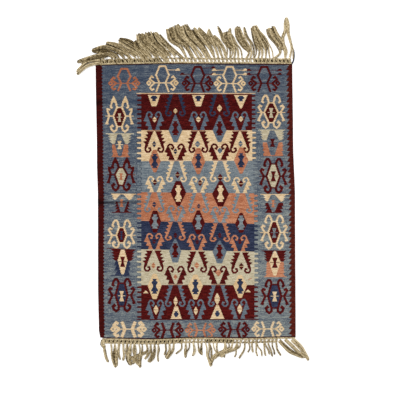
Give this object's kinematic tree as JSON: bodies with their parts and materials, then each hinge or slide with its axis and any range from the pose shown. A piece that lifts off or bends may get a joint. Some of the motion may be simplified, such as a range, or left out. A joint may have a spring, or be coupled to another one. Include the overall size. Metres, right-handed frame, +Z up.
{
  "type": "flat-woven kilim rug with knotted fringes",
  "caption": "Flat-woven wool rug lying open on the floor, with hooked traditional motifs in coloured bands, side and end borders, and a knotted heading with a loose fringe at each end.",
  "frame": {"origin": "on the floor, under the middle of the woven body", "axes": "+X across the rug, +Y along the warps towards the long fringe, +Z up off the floor"},
  "size_m": [1.182, 1.7892, 0.008],
  "materials": {
    "woven_wool": "weft-faced flat weave of dyed wool, matt, with slate ground and maroon, ivory, orange, navy and sage motifs",
    "warp_fringe": "undyed tan wool warp ends, plied and knotted, matt"
  },
  "bodies": {
    "root": {"woven_body": "woven_wool", "fringe_top": "warp_fringe", "fringe_bottom": "warp_fringe"}
  },
  "joints": []
}
